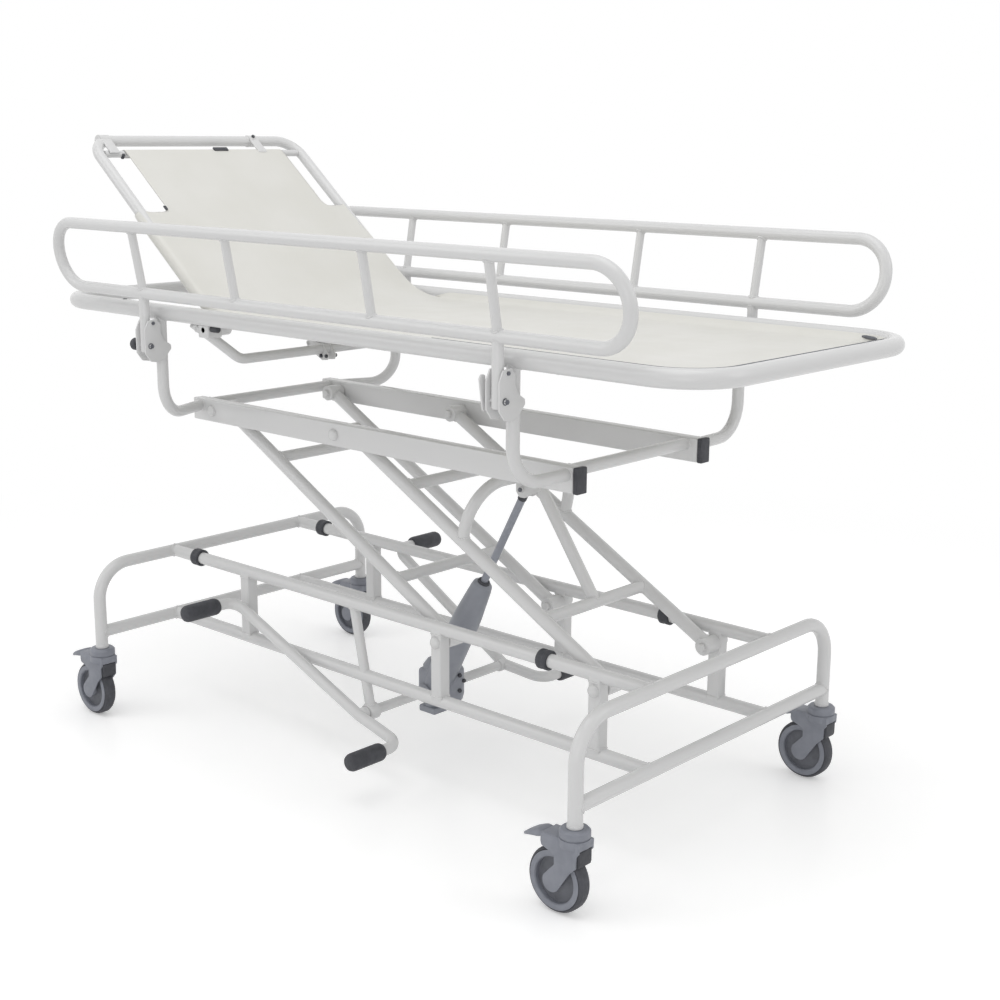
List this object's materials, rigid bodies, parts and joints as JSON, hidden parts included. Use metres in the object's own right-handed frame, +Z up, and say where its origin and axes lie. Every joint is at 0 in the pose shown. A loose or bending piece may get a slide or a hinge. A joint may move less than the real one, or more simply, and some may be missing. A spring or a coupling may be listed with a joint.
{
  "type": "shower_trolley",
  "caption": "Height-adjustable shower trolley: tubular wheeled base, hydraulic parallel lift, bed frame with sling sheet, tilting backrest and fold-down side rails",
  "frame": {"origin": "On the floor under the middle of the part", "axes": "+X along the bed to the foot end, +Y to the far side, +Z up"},
  "size_m": [1.8648, 0.878, 1.3414],
  "materials": {
    "white_paint": "semi-gloss powder coat",
    "sheet_cloth": "coated cloth, semi-gloss",
    "grey_plastic": "moulded, fine grain",
    "grey_paint": "satin paint",
    "black_rubber": "matt",
    "dark_tyre": "matt",
    "bright_steel": "plated"
  },
  "bodies": {
    "base": {"base_head_hoop": "white_paint", "base_foot_hoop": "white_paint", "base_side_near": "white_paint", "base_side_far": "white_paint", "buffer_near_head": "black_rubber", "buffer_near_foot": "black_rubber", "buffer_far_head": "black_rubber", "buffer_far_foot": "black_rubber", "lower_bolt_a_near": "white_paint", "lower_bolt_b_near": "white_paint", "lower_bolt_a_far": "white_paint", "lower_bolt_b_far": "white_paint"},
    "castor_near_head": {"castor_fork_near_head": "grey_plastic"},
    "castor_near_foot": {"castor_fork_near_foot": "grey_plastic"},
    "castor_far_head": {"castor_fork_far_head": "grey_plastic"},
    "castor_far_foot": {"castor_fork_far_foot": "grey_plastic"},
    "wheel_near_head": {"wheel_hub_near_head": "grey_plastic", "tyre_near_head": "dark_tyre"},
    "wheel_near_foot": {"wheel_hub_near_foot": "grey_plastic", "tyre_near_foot": "dark_tyre"},
    "wheel_far_head": {"wheel_hub_far_head": "grey_plastic", "tyre_far_head": "dark_tyre"},
    "wheel_far_foot": {"wheel_hub_far_foot": "grey_plastic", "tyre_far_foot": "dark_tyre"},
    "brake_near_head": {"brake_pedal_near_head": "grey_plastic"},
    "brake_near_foot": {"brake_pedal_near_foot": "grey_plastic"},
    "brake_far_head": {"brake_pedal_far_head": "grey_plastic"},
    "brake_far_foot": {"brake_pedal_far_foot": "grey_plastic"},
    "link_a": {"link_frame_a": "white_paint"},
    "link_b": {"link_frame_b": "white_paint"},
    "platform": {"platform_frame": "white_paint", "beam_cap_near": "black_rubber", "beam_cap_far": "black_rubber", "upper_bolt_a_near": "white_paint", "upper_bolt_b_near": "white_paint", "upper_bolt_a_far": "white_paint", "upper_bolt_b_far": "white_paint", "bed_frame": "white_paint", "lying_sheet": "sheet_cloth", "rail_bracket_near_head": "white_paint", "rail_bracket_near_foot": "white_paint", "rail_bracket_far_head": "white_paint", "rail_bracket_far_foot": "white_paint"},
    "pump": {"pump_body": "grey_paint"},
    "piston": {"piston_rod": "grey_paint"},
    "rocker": {"pedal_rocker": "white_paint", "pedal_sleeve_near_pump": "black_rubber", "pedal_sleeve_near_release": "black_rubber", "pedal_sleeve_far_pump": "black_rubber", "pedal_sleeve_far_release": "black_rubber"},
    "backrest": {"backrest_frame": "white_paint", "hem_bar": "white_paint", "backrest_sheet": "sheet_cloth"},
    "gas_cylinder": {"gas_spring_cylinder": "black_rubber"},
    "gas_rod": {"gas_spring_rod": "bright_steel"},
    "rail_near": {"side_rail_near": "white_paint"},
    "rail_far": {"side_rail_far": "white_paint"},
    "knob_near": {"latch_knob_near": "black_rubber"},
    "knob_far": {"latch_knob_far": "black_rubber"}
  },
  "joints": [
    {"name": "castor_swivel_near_head", "type": "hinge", "parent": "base", "child": "castor_near_head", "pos_m": [-0.72, -0.413, 0.17], "axis": [0, 0, 1], "continuous": true},
    {"name": "castor_swivel_near_foot", "type": "hinge", "parent": "base", "child": "castor_near_foot", "pos_m": [0.72, -0.413, 0.17], "axis": [0, 0, 1], "continuous": true},
    {"name": "castor_swivel_far_head", "type": "hinge", "parent": "base", "child": "castor_far_head", "pos_m": [-0.72, 0.413, 0.17], "axis": [0, 0, 1], "continuous": true},
    {"name": "castor_swivel_far_foot", "type": "hinge", "parent": "base", "child": "castor_far_foot", "pos_m": [0.72, 0.413, 0.17], "axis": [0, 0, 1], "continuous": true},
    {"name": "wheel_roll_near_head", "type": "hinge", "parent": "castor_near_head", "child": "wheel_near_head", "pos_m": [-0.754, -0.413, 0.0625], "axis": [0, 1, 0], "continuous": true},
    {"name": "wheel_roll_near_foot", "type": "hinge", "parent": "castor_near_foot", "child": "wheel_near_foot", "pos_m": [0.686, -0.413, 0.0625], "axis": [0, 1, 0], "continuous": true},
    {"name": "wheel_roll_far_head", "type": "hinge", "parent": "castor_far_head", "child": "wheel_far_head", "pos_m": [-0.754, 0.413, 0.0625], "axis": [0, 1, 0], "continuous": true},
    {"name": "wheel_roll_far_foot", "type": "hinge", "parent": "castor_far_foot", "child": "wheel_far_foot", "pos_m": [0.686, 0.413, 0.0625], "axis": [0, 1, 0], "continuous": true},
    {"name": "brake_press_near_head", "type": "hinge", "parent": "castor_near_head", "child": "brake_near_head", "pos_m": [-0.7873, -0.413, 0.1427], "axis": [0, 1, 0], "range_deg": [-15, 0]},
    {"name": "brake_press_near_foot", "type": "hinge", "parent": "castor_near_foot", "child": "brake_near_foot", "pos_m": [0.6527, -0.413, 0.1427], "axis": [0, 1, 0], "range_deg": [-15, 0]},
    {"name": "brake_press_far_head", "type": "hinge", "parent": "castor_far_head", "child": "brake_far_head", "pos_m": [-0.7873, 0.413, 0.1427], "axis": [0, 1, 0], "range_deg": [-15, 0]},
    {"name": "brake_press_far_foot", "type": "hinge", "parent": "castor_far_foot", "child": "brake_far_foot", "pos_m": [0.6527, 0.413, 0.1427], "axis": [0, 1, 0], "range_deg": [-15, 0]},
    {"name": "lift", "type": "hinge", "parent": "base", "child": "link_a", "pos_m": [0.18, 0, 0.337], "axis": [0, 1, 0], "range_deg": [-23.4, 5]},
    {"name": "link_b_turn", "type": "hinge", "parent": "base", "child": "link_b", "pos_m": [0.595, 0, 0.337], "axis": [0, 1, 0], "range_deg": [-23.5, 5.1]},
    {"name": "platform_level", "type": "hinge", "parent": "link_a", "child": "platform", "pos_m": [-0.53507, 0, 0.73011], "axis": [0, 1, 0], "range_deg": [-5.1, 23.5]},
    {"name": "pump_tilt", "type": "hinge", "parent": "base", "child": "pump", "pos_m": [-0.03, 0, 0.13], "axis": [0, 1, 0], "range_deg": [-1.5, 0.5]},
    {"name": "piston_slide", "type": "slide", "parent": "pump", "child": "piston", "axis": [0.4704, 0, 0.8825], "range_m": [-0.19, 0.042]},
    {"name": "pedal_rock", "type": "hinge", "parent": "base", "child": "rocker", "pos_m": [-0.03, 0, 0.13], "axis": [0, 1, 0], "range_deg": [-25, 12], "stiffness_Nm_per_rad": 150, "springref_deg": 1.15},
    {"name": "backrest_tilt", "type": "hinge", "parent": "platform", "child": "backrest", "pos_m": [-0.37007, 0, 0.94201], "axis": [0, 1, 0], "range_deg": [-33, 15]},
    {"name": "gas_spring_tilt", "type": "hinge", "parent": "platform", "child": "gas_cylinder", "pos_m": [-0.42407, 0, 0.87801], "axis": [0, 1, 0], "range_deg": [-34.5, 16]},
    {"name": "gas_spring_slide", "type": "slide", "parent": "gas_cylinder", "child": "gas_rod", "axis": [-0.6601, 0, 0.7512], "range_m": [-0.049, 0.023]},
    {"name": "rail_fold_near", "type": "hinge", "parent": "platform", "child": "rail_near", "pos_m": [0, -0.396, 0.90001], "axis": [1, 0, 0], "range_deg": [0, 150]},
    {"name": "rail_fold_far", "type": "hinge", "parent": "platform", "child": "rail_far", "pos_m": [0, 0.396, 0.90001], "axis": [-1, 0, 0], "range_deg": [0, 150]},
    {"name": "knob_pull_near", "type": "slide", "parent": "rail_near", "child": "knob_near", "axis": [-1, 0, 0], "range_m": [0, 0.008], "stiffness_N_per_m": 400},
    {"name": "knob_pull_far", "type": "slide", "parent": "rail_far", "child": "knob_far", "axis": [-1, 0, 0], "range_m": [0, 0.008], "stiffness_N_per_m": 400}
  ],
  "couplings": [
    {"joint": "link_b_turn", "follows": "lift", "ratio": 1},
    {"joint": "platform_level", "follows": "lift", "ratio": -1},
    {"joint": "pump_tilt", "follows": "lift", "ratio": 0.045},
    {"joint": "piston_slide", "follows": "lift", "m_per_rad": 0.461},
    {"joint": "gas_spring_tilt", "follows": "backrest_tilt", "ratio": 1.0164},
    {"joint": "gas_spring_slide", "follows": "backrest_tilt", "m_per_rad": 0.0824}
  ]
}
